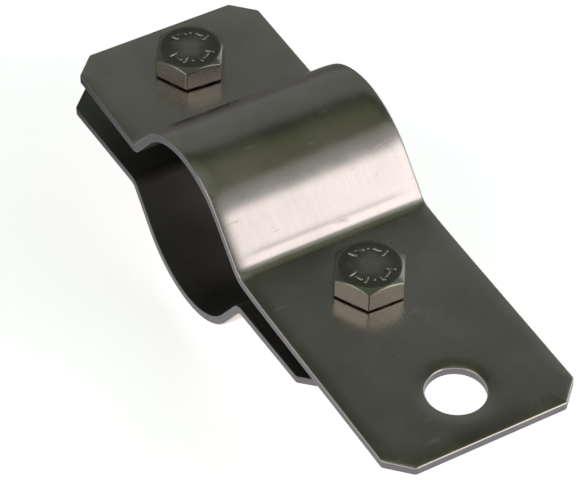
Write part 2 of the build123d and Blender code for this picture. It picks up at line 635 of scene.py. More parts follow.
class FoldedSide:
    """One side of a strap's folded section, and where a point of its flat blank lies once folded.

    A place along the blank is counted from the crest, positive to the rear. An offset is counted
    from the middle of the sheet, positive away from the seat's axis. Only a front fold has an ease,
    the slope at which it runs out into its flange, and a ridge, the height of the tool's mark.
    """

    def __init__(self, sizes, seat_radius, fold_radius, slope, ease=0.0, ridge=0.0):
        self.seat = seat_radius + sizes.sheet / 2
        self.fold = fold_radius + sizes.sheet / 2
        self.flange_z = sizes.flange_face_height + sizes.sheet / 2
        self.ease = ease
        self.ease_length = sizes.fold_ease_length
        self.fold_z = self.flange_z + self.ease_length * math.tan(ease) + self.fold * math.cos(ease)
        self.slope = slope
        self.ridge = ridge
        self.half_width = sizes.width / 2
        drop = (self.seat + self.fold) * math.cos(self.slope) - self.fold_z
        self.fold_y = (self.seat + self.fold) * math.sin(self.slope) + drop / math.tan(self.slope)
        self.seat_end = self.seat * self.slope
        self.flank_end = self.seat_end + drop / math.sin(self.slope)
        self.fold_end = self.flank_end + self.fold * (self.slope - ease)
        self.flange_y = self.fold_y - self.fold * math.sin(ease)

    def blank_place(self, y):
        """Place along the blank of a point on a flange."""
        return math.copysign(self.fold_end + abs(y) - self.flange_y, y)

    def rows(self, length):
        """Places of the cross rows on one side of the crest, close together where it curves."""
        seat = steps(0, self.seat_end, self.seat * SEAT_STEP)
        if self.ridge:
            flank = steps(self.seat_end, self.flank_end, RIDGE_STEP)
        else:
            flank = flat_steps(self.seat_end, self.flank_end)
        fold = steps(self.flank_end, self.fold_end, self.fold * FOLD_STEP)
        return seat + flank + fold + flat_steps(self.fold_end, length)

    def ridge_rise(self, run, across):
        """Rise of the folding tool's mark, which fades towards both sides of the strap."""
        from_middle = (run - self.flank_end + RIDGE_SETBACK) / RIDGE_REACH
        fade = min(1, max(0, (self.half_width - RIDGE_MARGIN - abs(across)) / RIDGE_MARGIN))
        return self.ridge * math.exp(-from_middle**2) * fade

    def point(self, along, across, offset):
        """Folded place of a point of the blank."""
        run = abs(along)
        if run <= self.seat_end:
            angle = run / self.seat
            y = (self.seat + offset) * math.sin(angle)
            z = (self.seat + offset) * math.cos(angle)
        elif run <= self.flank_end:
            down = run - self.seat_end
            offset += self.ridge_rise(run, across)
            y = (self.seat + offset) * math.sin(self.slope) + down * math.cos(self.slope)
            z = (self.seat + offset) * math.cos(self.slope) - down * math.sin(self.slope)
        elif run <= self.fold_end:
            angle = self.slope - (run - self.flank_end) / self.fold
            y = self.fold_y - (self.fold - offset) * math.sin(angle)
            z = self.fold_z - (self.fold - offset) * math.cos(angle)
        else:
            past = run - self.fold_end
            rise = math.tan(self.ease) * math.exp(-past / self.ease_length)
            y = self.flange_y + past + offset * math.sin(self.ease) * math.exp(-past / self.ease_length)
            z = self.flange_z + self.ease_length * rise + offset * math.cos(math.atan(rise))
        return Vector((across, math.copysign(y, along), z))


class FoldedSection:
    """The two sides of a strap's folded section, the front one with negative places."""

    def __init__(self, front, rear):
        self.front, self.rear = front, rear

    def side(self, place):
        """The side that a place is on."""
        return self.front if place < 0 else self.rear

    def blank_place(self, y):
        """Place along the blank of a point on a flange."""
        return self.side(y).blank_place(y)

    def rows(self, front, rear):
        """Places of the cross rows from the front end to the rear end, the crest's row once."""
        return sorted([-row for row in self.front.rows(-front)][1:] + self.rear.rows(rear))

    def point(self, along, across, offset):
        """Folded place of a point of the blank."""
        return self.side(along).point(along, across, offset)


class Blank:
    """Flat blank of a strap: a long rectangle with cut, rounded corners and round holes.

    Its points are (along, across), and each carries how far it lies from the nearest edge.
    """

    def __init__(self, sizes, section, front_y, rear_y, holes):
        self.sizes = sizes
        self.front = section.blank_place(front_y)
        self.rear = section.blank_place(rear_y)
        self.half = sizes.width / 2
        self.holes = [(section.blank_place(y), radius) for y, radius in holes]
        self.rows = section.rows(self.front, self.rear)
        self.band = sizes.edge_roll_width
        near, far = (share * self.band for share in LAST_RINGS)
        inner = steps(far - self.half, self.half - far, FLAT_STEP)
        self.columns = [near - self.half, *inner, self.half - far, self.half - near]
        self.insets = [share * sizes.arris_radius for share in ARRIS_RINGS]
        self.insets += [share * self.band for share in BAND_RINGS]

    def corner_arcs(self):
        """Centre and first angle of each arc that rounds the outline, anticlockwise."""
        radius = self.sizes.corner_round
        setback = self.sizes.corner_cut + radius * (math.sqrt(2) - 1)
        corners = [(self.rear, 1), (self.front, 1), (self.front, -1), (self.rear, -1)]
        arcs = []
        for quarter, (end, side) in enumerate(corners):
            inward = -math.copysign(1, end)
            near_end = Vector((end + inward * radius, side * (self.half - setback)))
            near_side = Vector((end + inward * setback, side * (self.half - radius)))
            pair = [near_end, near_side] if quarter % 2 == 0 else [near_side, near_end]
            arcs += [(pair[0], quarter * math.pi / 2), (pair[1], quarter * math.pi / 2 + math.pi / 4)]
        return arcs

    def outline(self, inset):
        """Points of the outline drawn in by inset, anticlockwise."""
        radius = self.sizes.corner_round - inset
        corners = []
        for centre, first in self.corner_arcs():
            angles = [first + math.pi / 4 * k / ARC_STEPS for k in range(ARC_STEPS + 1)]
            corners.append([centre + radius * Vector((math.cos(a), math.sin(a))) for a in angles])
        reach = self.sizes.corner_cut + 2 * self.sizes.corner_round
        rows = [r for r in self.rows if self.front + reach < r < self.rear - reach]
        columns = [c for c in self.columns if abs(c) < self.half - reach]
        side = [Vector((r, self.half - inset)) for r in rows]
        end = [Vector((self.rear - inset, c)) for c in columns]
        far_side = [Vector((p.x, -p.y)) for p in side]
        far_end = [Vector((self.front + inset, p.y)) for p in end]
        runs = [corners[0], corners[1], side[::-1], corners[2], corners[3], far_end[::-1]]
        runs += [corners[4], corners[5], far_side, corners[6], corners[7], end]
        return [point for run in runs for point in run]

    def edge_distance(self, along, across):
        """Distance of an inner point from the nearest edge of the outline or of a hole."""
        ends = (self.rear - along, along - self.front)
        cuts = [(e + self.half - abs(across) - self.sizes.corner_cut) / math.sqrt(2) for e in ends]
        holes = [math.hypot(along - a, across) - radius for a, radius in self.holes]
        return min(self.half - abs(across), *ends, *cuts, *holes)

    def near_hole(self, along, across):
        """Whether a point lies so near a hole that the rings round the hole take its place."""
        clearance = HOLE_CLEARANCE * self.band
        return any(math.hypot(along - a, across) < radius + clearance for a, radius in self.holes)

    def points(self):
        """Points, their distances from an edge, the closed loops, and how many of these are edges."""
        points, distances, loops = [], [], []
        turn = [2 * math.pi * k / HOLE_POINTS for k in range(HOLE_POINTS)]

        def add_loop(loop, inset):
            loops.append(list(range(len(points), len(points) + len(loop))))
            points.extend(loop)
            distances.extend([inset] * len(loop))

        def add_hole_rings(inset):
            for along, radius in self.holes:
                reach = radius + inset
                add_loop([Vector((along + reach * math.cos(a), reach * math.sin(a))) for a in turn], inset)

        for inset in self.insets:
            add_loop(self.outline(inset), inset)
            add_hole_rings(inset)
        for share in LAST_RINGS:
            add_hole_rings(share * self.band)
        for row in self.rows:
            for column in self.columns:
                distance = self.edge_distance(row, column)
                if distance > EDGE_CLEARANCE * self.band and not self.near_hole(row, column):
                    points.append(Vector((row, column)))
                    distances.append(distance)
        return points, distances, loops, 1 + len(self.holes)


def skin_drop(distance, roll_depth, roll_width, arris):
    """How far a skin lies below its sheet's face at a distance from an edge."""
    drop = 0
    if distance < roll_width:
        drop += roll_depth * (1 - distance / roll_width) ** 2
    if distance < arris:
        drop += arris - math.sqrt(arris**2 - (arris - distance) ** 2)
    return drop


def strap_mesh(sizes, section, front_y, rear_y, holes):
    """Closed mesh of a folded strap, with a material each for its walls and its inner skin.

    The arris of the inner skin is half as round as that of the outer one.
    """
    blank = Blank(sizes, section, front_y, rear_y, holes)
    points, distances, loops, edge_count = blank.points()
    triangles = triangles_over(points, loops)
    half_sheet, arris = sizes.sheet / 2, sizes.arris_radius
    depth, width = sizes.edge_roll_depth, sizes.edge_roll_width
    bm = bmesh.new()
    outer, inner = [], []
    for point, distance in zip(points, distances):
        top = half_sheet - skin_drop(distance, depth, width, arris)
        bottom = -half_sheet + skin_drop(distance, 0, width, arris / 2)
        outer.append(bm.verts.new(section.point(point.x, point.y, top)))
        inner.append(bm.verts.new(section.point(point.x, point.y, bottom)))
    for a, b, c in triangles:
        middle = (points[a] + points[b] + points[c]) / 3
        if any(math.hypot(middle.x - along, middle.y) < radius for along, radius in blank.holes):
            continue
        bm.faces.new((outer[a], outer[b], outer[c]))
        bm.faces.new((inner[c], inner[b], inner[a])).material_index = INNER_SKIN_INDEX
    for loop in loops[:edge_count]:
        add_wall(bm, section, points, loop, outer, inner, sizes)
    return bm


def add_wall(bm, section, points, loop, outer, inner, sizes):
    """Joins the two skins along one edge loop by the sheared wall of the sheet."""
    top = sizes.sheet / 2 - sizes.edge_roll_depth - sizes.arris_radius
    bottom = -sizes.sheet / 2 + sizes.arris_radius / 2
    rings = [[outer[i] for i in loop]]
    for share in WALL_SHARES:
        level = top + (bottom - top) * share
        rings.append([bm.verts.new(section.point(points[i].x, points[i].y, level)) for i in loop])
    rings.append([inner[i] for i in loop])
    for upper, lower in zip(rings, rings[1:]):
        for k in range(len(loop)):
            j = (k + 1) % len(loop)
            bm.faces.new((upper[k], lower[k], lower[j], upper[j])).material_index = CUT_EDGE_INDEX


def upper_strap_mesh(sizes, bolt_holes):
    """Upper strap, with a hole in its tail for the conductor's lug."""
    low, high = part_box("upper_strap")
    lug = MOUNTS["lug_hole"]
    lug_hole = (lug["pos_m"][1], lug["dims"]["r_mm"] * MM)
    front = FoldedSide(
        sizes,
        sizes.seat_radius,
        sizes.front_fold_radius,
        sizes.front_flank_slope,
        ease=sizes.fold_ease,
        ridge=sizes.ridge_height,
    )
    rear = FoldedSide(sizes, sizes.seat_radius, sizes.rear_fold_radius, sizes.flank_slope)
    return strap_mesh(sizes, FoldedSection(front, rear), low.y, high.y, bolt_holes + [lug_hole])


def lower_strap_mesh(sizes, bolt_holes):
    """Lower strap, folded as the upper one is, then turned over and tilted."""
    low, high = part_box("lower_strap")
    tilt = sizes.lower_tilt
    inner_face = sizes.flange_face_height
    outer_face = inner_face + sizes.sheet
    # Tilted, the front end reaches the box with its outer face, and the rear end with its inner one
    front = (low.y + outer_face * math.sin(tilt)) / math.cos(tilt)
    rear = (high.y + inner_face * math.sin(tilt)) / math.cos(tilt)
    side = FoldedSide(sizes, sizes.lower_seat_radius, sizes.lower_fold_radius, sizes.flank_slope)
    bm = strap_mesh(sizes, FoldedSection(side, side), front, rear, bolt_holes)
    turn_over = Matrix.Rotation(-tilt, 4, "X") @ Matrix.Scale(-1, 4, (0, 0, 1))
    bmesh.ops.transform(bm, verts=bm.verts, matrix=turn_over)
    return bm


def hexagon_angles():
    """Angles round a hexagon, close together at its corners, the first corner on +X."""
    angles = []
    for sector in range(6):
        corner = math.radians(60 * sector)
        angles += [corner - offset for offset in reversed(CORNER_OFFSETS[1:-1])]
        angles += [corner + offset for offset in CORNER_OFFSETS]
    return angles


def hexagon_radius(angle, apothem, corner_radius):
    """Distance from the axis to the side of a hexagon with rounded corners."""
    from_corner = abs((angle + HALF_SECTOR) % (2 * HALF_SECTOR) - HALF_SECTOR)
    centre = (apothem - corner_radius) / math.cos(HALF_SECTOR)
    reach = centre + corner_radius * math.cos(HALF_SECTOR)
    tangent = math.atan2(corner_radius * math.sin(HALF_SECTOR), reach)
    if from_corner < tangent:
        beyond_centre = math.sqrt(corner_radius**2 - (centre * math.sin(from_corner)) ** 2)
        return centre * math.cos(from_corner) + beyond_centre
    return apothem / math.cos(HALF_SECTOR - from_corner)


def join_rings(bm, rings):
    """Quads between rings of as many points each."""
    for lower, upper in zip(rings, rings[1:]):
        for k in range(len(lower)):
            j = (k + 1) % len(lower)
            bm.faces.new((lower[k], lower[j], upper[j], upper[k]))


def add_ring(bm, angles, place):
    """Ring of points whose radius and height place gives for each angle."""
    ring = []
    for angle in angles:
        radius, height = place(angle)
        ring.append(bm.verts.new(polar(radius, angle, height)))
    return ring


def crown_profile(sizes, crown_radius, height):
    """Rings, as functions of the angle, from a hexagon's side over its sloped corners to its flat.

    The flat face lies at height. Small steps, in shares of edge, round the edges off.
    """
    apothem, edge = sizes.flats / 2, sizes.edge_round
    slope = math.tan(sizes.crown_slope)

    def side(angle):
        return hexagon_radius(angle, apothem, sizes.corner_radius)

    def on_slope(angle, inset):
        return side(angle) - inset, height - (side(angle) - inset - crown_radius) * slope

    def below_slope(angle, drop):
        return side(angle), on_slope(angle, 0)[1] - drop

    return [
        lambda a: below_slope(a, 2.5 * edge),
        lambda a: below_slope(a, edge),
        lambda a: (side(a) - 0.1 * edge, on_slope(a, 0)[1] - 0.45 * edge),
        lambda a: (side(a) - 0.4 * edge, on_slope(a, 0)[1] - 0.05 * edge),
        lambda a: on_slope(a, edge),
        lambda a: on_slope(a, 1.8 * edge),
        lambda a: (crown_radius + edge, height - edge * slope),
        lambda a: (crown_radius, height - 0.3 * edge * slope),
        lambda a: (crown_radius - edge, height),
        lambda a: (crown_radius - 2 * edge, height),
    ]


def add_thread(bm, sizes, angles, bottom_ring, top_ring):
    """Helical thread between the ring at the shank's tip and the plain ring under the head.

    A column of points runs up the thread at each angle. The last column meets the first one a turn
    of the profile further up, because the thread has risen by a pitch there.
    """
    pitch = sizes.thread_pitch
    bottom, top = bottom_ring[0].co.z, top_ring[0].co.z
    root, plain = bottom_ring[0].co.xy.length, top_ring[0].co.xy.length
    turns = math.ceil((top - bottom) / pitch) + 2
    columns = []
    for k, angle in enumerate(angles):
        column = []
        for turn in range(turns):
            for share, cut in THREAD_PROFILE:
                level = bottom + (turn - 1 + share + angle / math.tau) * pitch
                if level <= bottom:
                    column.append(bottom_ring[k])
                elif level >= top:
                    column.append(top_ring[k])
                else:
                    radius = sizes.thread_radius - cut * THREAD_DEPTH_SHARE * pitch
                    fade = min(1, (top - level) / (THREAD_RUNOUT_PITCHES * pitch))
                    radius = min(plain + (radius - plain) * fade, root + level - bottom)
                    column.append(bm.verts.new(polar(radius, angle, level)))
        columns.append(column)
    for k, left in enumerate(columns):
        last = k == len(columns) - 1
        right = columns[0] if last else columns[k + 1]
        shift = len(THREAD_PROFILE) if last else 0
        for i in range(len(left) - 1 - shift):
            corners = (left[i], right[i + shift], right[i + 1 + shift], left[i + 1])
            corners = list(dict.fromkeys(corners))
            if len(corners) > 2:
                bm.faces.new(corners)


def head_strokes():
    """Angle, half length and lean of each raised stroke. The middle one of an arc is a dot."""
    strokes = []
    for first, count, gap in STROKE_ARCS:
        for k in range(count):
            angle, lean = math.radians(first + gap * k), math.radians(STROKE_LEANS[k])
            half_length = 0.0 if k == count // 2 else STROKE_HALF_LENGTH
            strokes.append((angle, half_length, lean))
    return strokes


def stroke_outline(stroke, half_width):
    """Outline of a raised stroke, a short bar with round ends, or a dot."""
    angle, half_length, lean = stroke
    centre = polar(STROKE_RADIUS, angle, 0).xy
    along = Vector((math.cos(angle + lean), math.sin(angle + lean)))
    points = []
    for end in (1, -1):
        for k in range(STROKE_END_STEPS + 1):
            turn = angle + lean + math.pi * (k / STROKE_END_STEPS - 0.5) + (0 if end > 0 else math.pi)
            offset = Vector((math.cos(turn), math.sin(turn)))
            points.append(centre + end * half_length * along + half_width * offset)
    return points


def fill_marked_top(bm, sizes, rim):
    """Fills a head's round top inside its rim, with the raised strokes as part of the surface.

    The flat of the top has a material of its own.
    """
    level = rim[0].co.z
    points = [vert.co.xy.copy() for vert in rim]
    verts = list(rim)
    loops = [list(range(len(rim)))]
    for stroke in head_strokes():
        for half_width, share in STROKE_SIDES:
            outline = stroke_outline(stroke, half_width)
            loops.append(list(range(len(points), len(points) + len(outline))))
            points += outline
            verts += [bm.verts.new((p.x, p.y, level + share * sizes.mark_height)) for p in outline]
    for triangle in triangles_over(points, loops):
        face = bm.faces.new([verts[i] for i in triangle])
        if max(vert.co.z for vert in face.verts) == level:
            face.material_index = PRESSED_TOP_INDEX


def bolt_mesh(sizes, tip, under, turn):
    """Hexagon bolt with its thread, round washer face, crowned head and raised strokes.

    Its tip and the underside of its head lie at tip and under. Small steps, in shares of edge,
    round its edges off.
    """
    bm = bmesh.new()
    angles = hexagon_angles()
    edge = sizes.edge_round
    depth = THREAD_DEPTH_SHARE * sizes.thread_pitch
    root, plain = sizes.thread_radius - depth, sizes.thread_radius - NECK_SHARE * depth
    face_top = under + sizes.washer_face_height
    face_radius = sizes.washer_face_radius

    def side(angle):
        return hexagon_radius(angle, sizes.flats / 2, sizes.corner_radius)

    tip_inner = add_ring(bm, angles, lambda a: (root - edge, tip))
    tip_ring = add_ring(bm, angles, lambda a: (root, tip))
    neck = add_ring(bm, angles, lambda a: (plain, under - edge))
    join_rings(bm, [tip_inner, tip_ring])
    bm.faces.new(tip_inner)
    add_thread(bm, sizes, angles, tip_ring, neck)
    profile = [
        lambda a: (plain + 0.3 * edge, under - 0.3 * edge),
        lambda a: (plain + edge, under),
        lambda a: (face_radius - edge, under),
        lambda a: (face_radius - 0.3 * edge, under + 0.1 * edge),
        lambda a: (face_radius, under + 0.5 * edge),
        lambda a: (face_radius, face_top),
        lambda a: (side(a) - 1.2 * edge, face_top),
        lambda a: (side(a) - 0.4 * edge, face_top + 0.1 * edge),
        lambda a: (side(a), face_top + 0.6 * edge),
        lambda a: (side(a), face_top + 2 * edge),
    ]
    profile += crown_profile(sizes, sizes.head_crown_radius, under + sizes.head_height)
    rings = [neck] + [add_ring(bm, angles, place) for place in profile]
    join_rings(bm, rings)
    fill_marked_top(bm, sizes, rings[-1])
    bmesh.ops.rotate(bm, verts=bm.verts, matrix=Matrix.Rotation(turn, 3, "Z"))
    return bm


def nut_mesh(sizes, height, turn):
    """Hexagon nut crowned at both ends, with a countersunk bore, its top face on the XY plane."""
    bm = bmesh.new()
    angles = hexagon_angles()
    bore, sink, edge = sizes.nut_bore_radius, sizes.nut_sink_radius, sizes.edge_round
    depth = sink - bore
    upper = crown_profile(sizes, sizes.nut_crown_radius, 0)
    upper += [
        lambda a: (sink + edge, 0),
        lambda a: (sink, -0.2 * edge),
        lambda a: (bore + 0.3 * edge, -depth + 0.3 * edge),
        lambda a: (bore, -depth - 0.5 * edge),
    ]

    def turned_over(place):
        return lambda a: (place(a)[0], -height - place(a)[1])

    rings = [add_ring(bm, angles, turned_over(place)) for place in reversed(upper)]
    rings += [add_ring(bm, angles, place) for place in upper]
    join_rings(bm, rings + [rings[0]])
    bmesh.ops.rotate(bm, verts=bm.verts, matrix=Matrix.Rotation(turn, 3, "Z"))
    return bm


def spring_washer_mesh(sizes, outer, thickness, turn):
    """Split spring washer pressed flat, its top face on the XY plane."""
    bm = bmesh.new()
    inner, edge = sizes.washer_inner_radius, WASHER_EDGE_SHARE * sizes.edge_round
    section = []
    corners = [(outer, 0, 0), (inner, 0, 1), (inner, -thickness, 2), (outer, -thickness, 3)]
    for radius, height, quarter in corners:
        centre_radius = radius + (-edge if radius == outer else edge)
        centre_height = height + (-edge if height == 0 else edge)
        for k in range(WASHER_EDGE_STEPS + 1):
            turn_at = (quarter + k / WASHER_EDGE_STEPS) * math.pi / 2
            point = (centre_radius + edge * math.cos(turn_at), centre_height + edge * math.sin(turn_at))
            section.append(point)
    half_gap = sizes.washer_slit / 2 / math.cos(sizes.washer_slit_slope)
    rings = []
    for station in range(WASHER_STATIONS + 1):
        share = station / WASHER_STATIONS
        ring = []
        for radius, height in section:
            lean = -(height + thickness / 2) * math.tan(sizes.washer_slit_slope)
            start = math.asin((lean + half_gap) / radius)
            end = math.tau + math.asin((lean - half_gap) / radius)
            ring.append(bm.verts.new(polar(radius, start + (end - start) * share, height)))
        rings.append(ring)
    join_rings(bm, rings)
    bm.faces.new(rings[0])
    bm.faces.new(rings[-1])
    bmesh.ops.rotate(bm, verts=bm.verts, matrix=Matrix.Rotation(turn, 3, "Z"))
    return bm


def keep_flats_flat(piece):
    """Weights the smooth normals by face area, so that flat faces shine flat up to their edges."""
    weighted = piece.modifiers.new("Flat faces", "WEIGHTED_NORMAL")
    weighted.mode = "FACE_AREA"
    weighted.weight = FLAT_WEIGHT


def add_node(tree, kind, inputs=None, **settings):
    """Adds a node with its settings. Its inputs are values, or sockets to link from."""
    made = tree.nodes.new(kind)
    for key, value in settings.items():
        setattr(made, key, value)
    for key, value in (inputs or {}).items():
        if isinstance(value, bpy.types.NodeSocket):
            tree.links.new(value, made.inputs[key])
        else:
            made.inputs[key].default_value = value
    return made


def new_material(name):
    """Material with an empty node tree."""
    material = bpy.data.materials.new(name)
    material.use_nodes = True
    material.node_tree.nodes.clear()
    return material, material.node_tree


def stretched_noise(tree, place, squeeze, scale, detail):
    """Noise that is squeezed by axis, such as the grain that rolling leaves along a sheet."""
    mapping = add_node(tree, "ShaderNodeMapping", {"Vector": place, "Scale": squeeze})
    noise = add_node(
        tree,
        "ShaderNodeTexNoise",
        {
            "Vector": mapping.outputs["Vector"],
            "Scale": scale,
            "Detail": detail,
            "Roughness": NOISE_ROUGHNESS,
        },
    )
    return noise.outputs["Fac"]


def spread(tree, value, low, high, start=0.0, stop=1.0):
    """The value, which runs from start to stop, made to run from low to high."""
    limits = {"Value": value, "From Min": start, "From Max": stop, "To Min": low, "To Max": high}
    mapped = add_node(tree, "ShaderNodeMapRange", limits)
    return mapped.outputs["Result"]


def combined(tree, operation, first, second):
    """Value that a Math node makes of two others."""
    made = add_node(tree, "ShaderNodeMath", {0: first, 1: second}, operation=operation)
    return made.outputs["Value"]


def vector_node(tree, operation, first, second=(0, 0, 0)):
    """Node that works on one vector, or on two."""
    return add_node(tree, "ShaderNodeVectorMath", {0: first, 1: second}, operation=operation)


def mixed(tree, kind, share, first, second):
    """Value or colour between two others, the second in full where share is 1."""
    first_socket, second_socket, result = MIX_SOCKETS[kind]
    inputs = {"Factor": share, first_socket: first, second_socket: second}
    return add_node(tree, "ShaderNodeMix", inputs, data_type=kind).outputs[result]


def steel(name, colour, roughness, squeeze, scale, height):
    """Stainless steel with the clouds, specks, scuffs and grain that making and handling leave.

    The grain is squeezed by axis, of a scale per metre, and as high as height.
    """
    material, tree = new_material(name)
    place = add_node(tree, "ShaderNodeTexCoord").outputs["Object"]
    grain = stretched_noise(tree, place, squeeze, scale, detail=3)
    clouds = stretched_noise(tree, place, EVEN, CLOUD_SCALE, detail=4)
    clouds = spread(tree, clouds, 0, 1, *CLOUD_LIMITS)
    scuffs = stretched_noise(tree, place, SCUFF_SQUEEZE, SCUFF_SCALE, detail=2)
    scuffs = spread(tree, scuffs, 0, SCUFF_ROUGHNESS, *SCUFF_LIMITS)
    cells = {"Vector": place, "Scale": SPECK_SCALE}
    specks = add_node(tree, "ShaderNodeTexVoronoi", cells, voronoi_dimensions="2D").outputs["Distance"]
    shade = combined(tree, "MULTIPLY", clouds, spread(tree, specks, 0, 1, *SPECK_LIMITS))
    darker = [CLOUD_SHADE * c for c in colour]
    grainy = spread(tree, grain, roughness - GRAIN_ROUGHNESS, roughness + GRAIN_ROUGHNESS)
    cloudy = spread(tree, shade, -CLOUD_ROUGHNESS, CLOUD_ROUGHNESS)
    uneven = combined(tree, "ADD", combined(tree, "ADD", grainy, cloudy), scuffs)
    bump = add_node(tree, "ShaderNodeBump", {"Height": grain, "Distance": height, "Strength": 1.0})
    shader = add_node(
        tree,
        "ShaderNodeBsdfPrincipled",
        {
            "Base Color": mixed(tree, "RGBA", shade, (*darker, 1), (*colour, 1)),
            "Metallic": 1.0,
            "Roughness": uneven,
            "Normal": bump.outputs["Normal"],
        },
    )
    output = add_node(tree, "ShaderNodeOutputMaterial")
    tree.links.new(shader.outputs["BSDF"], output.inputs["Surface"])
    return material


def sheet_skin(finishes):
    """Rolled skin of the straps, its grain along their length."""
    return steel(
        "Sheet skin",
        finishes.strap_colour,
        finishes.strap_roughness,
        squeeze=ALONG_STRAP,
        scale=2600,
        height=0.0016 * MM,
    )


def inner_skin(finishes):
    """Dull inner skin of the straps, its colour darkened as painted shade for the gap between the flanges.
    """
    return steel(
        "Inner skin",
        # Dark colour: painted shade for the gap between the flanges
        finishes.shaded_inner_colour,
        roughness=0.46,
        squeeze=ALONG_STRAP,
        scale=2600,
        height=0.006 * MM,
    )


def cut_edge(finishes):
    """Sheared walls of the straps, drawn and torn down the thickness of the sheet. Their dark colour is
    partly the torn steel's own and partly painted shade.
    """
    return steel(
        "Cut edge",
        # Dark colour: partly the torn steel's own, partly painted shade
        finishes.cut_and_shade_colour,
        roughness=0.5,
        squeeze=DOWN_WALL,
        scale=5000,
        height=0.03 * MM,
    )


def forged_steel(finishes):
    """Cold formed bolts and nuts."""
    return steel(
        "Forged steel",
        finishes.bolt_colour,
        roughness=0.27,
        squeeze=EVEN,
        scale=900,
        height=0.007 * MM,
    )


def pressed_top(finishes):
    """Dark, uneven tops of the bolts' heads, pressed by the heading die, with a lighter middle."""
    material = steel(
        "Pressed top",
        finishes.top_colour,
        roughness=0.34,
        squeeze=EVEN,
        scale=700,
        height=0.03 * MM,
    )
    tree = material.node_tree
    place = add_node(tree, "ShaderNodeTexCoord").outputs["Object"]
    mirrored = vector_node(tree, "ABSOLUTE", place).outputs["Vector"]
    flat = vector_node(tree, "MULTIPLY", mirrored, (1, 1, 0)).outputs["Vector"]
    from_axis = vector_node(tree, "DISTANCE", flat, (0, abs(BOLT_Y["front"]), 0)).outputs["Value"]
    blotches = stretched_noise(tree, place, EVEN, BLOTCH_SCALE, detail=4)
    blotches = spread(tree, blotches, -BLOTCH_REACH, BLOTCH_REACH, *BLOTCH_LIMITS)
    middle = spread(tree, combined(tree, "ADD", from_axis, blotches), 1, 0, *MIDDLE_FADE)
    base = tree.nodes["Principled BSDF"].inputs["Base Color"]
    dark = base.links[0].from_socket
    tree.links.new(mixed(tree, "RGBA", middle, dark, (*finishes.middle_colour, 1)), base)
    return material


def spring_steel(finishes):
    """Spring washers."""
    return steel(
        "Spring steel",
        finishes.washer_colour,
        roughness=0.38,
        squeeze=EVEN,
        scale=1400,
        height=0.02 * MM,
    )


def shared_material(name, make):
    """Material of that name, made once."""
    return bpy.data.materials.get(name) or make(bpy.context.scene.clamp_finishes)


class ClampStraps(bpy.types.Operator):
    """Build both folded straps in place of their CAD solids"""

    bl_idname = "clamp.straps"
    bl_label = "Build Straps"

    def execute(self, context):
        sizes = context.scene.clamp_straps
        materials = [
            shared_material("Sheet skin", sheet_skin),
            shared_material("Cut edge", cut_edge),
            shared_material("Inner skin", inner_skin),
        ]
        bolt_holes = [(y, sizes.bolt_hole_radius) for y in BOLT_Y.values()]
        upper = upper_strap_mesh(sizes, bolt_holes)
        add_piece("Upper_strap", upper, "upper_half", "upper_strap", materials)
        lower = lower_strap_mesh(sizes, bolt_holes)
        add_piece("Lower_strap", lower, "lower_half", "lower_strap", materials)
        return {"FINISHED"}


class ClampBolts(bpy.types.Operator):
    """Build the two hexagon bolts in place of their CAD solids"""

    bl_idname = "clamp.bolts"
    bl_label = "Build Bolts"

    def execute(self, context):
        sizes = context.scene.clamp_fasteners
        materials = [
            shared_material("Forged steel", forged_steel),
            shared_material("Pressed top", pressed_top),
        ]
        for (end, y), turn in zip(BOLT_Y.items(), sizes.bolt_turns):
            node = end + "_bolt"
            low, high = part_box(node)
            bm = bolt_mesh(sizes, low.z, high.z - sizes.head_height, turn)
            bmesh.ops.translate(bm, verts=bm.verts, vec=(0, y, 0))
            piece = add_piece(node.capitalize(), bm, node, node, materials)
            keep_flats_flat(piece)
        return {"FINISHED"}


class ClampNuts(bpy.types.Operator):
    """Build the two hexagon nuts in place of their CAD solids"""

    bl_idname = "clamp.nuts"
    bl_label = "Build Nuts"

    def execute(self, context):
        sizes = context.scene.clamp_fasteners
        materials = [shared_material("Forged steel", forged_steel)]
        for (end, y), turn in zip(BOLT_Y.items(), sizes.nut_turns):
            node = end + "_nut"
            low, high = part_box(node)
            bm = nut_mesh(sizes, high.z - low.z, turn)
            bmesh.ops.translate(bm, verts=bm.verts, vec=(0, y, high.z))
            piece = add_piece(node.capitalize(), bm, "lower_half", node, materials)
            keep_flats_flat(piece)
        return {"FINISHED"}


class ClampSpringWashers(bpy.types.Operator):
    """Build the two split spring washers in place of their CAD solids"""

    bl_idname = "clamp.spring_washers"
    bl_label = "Build Spring Washers"

    def execute(self, context):
        sizes = context.scene.clamp_fasteners
        materials = [shared_material("Spring steel", spring_steel)]
        for (end, y), turn in zip(BOLT_Y.items(), sizes.washer_turns):
            node = end + "_spring_washer"
            low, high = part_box(node)
            outer = (high.y - low.y) / 2
            bm = spring_washer_mesh(sizes, outer, high.z - low.z, turn)
            bmesh.ops.translate(bm, verts=bm.verts, vec=(0, y, high.z))
            piece = add_piece(node.capitalize(), bm, "lower_half", node, materials)
            keep_flats_flat(piece)
        return {"FINISHED"}


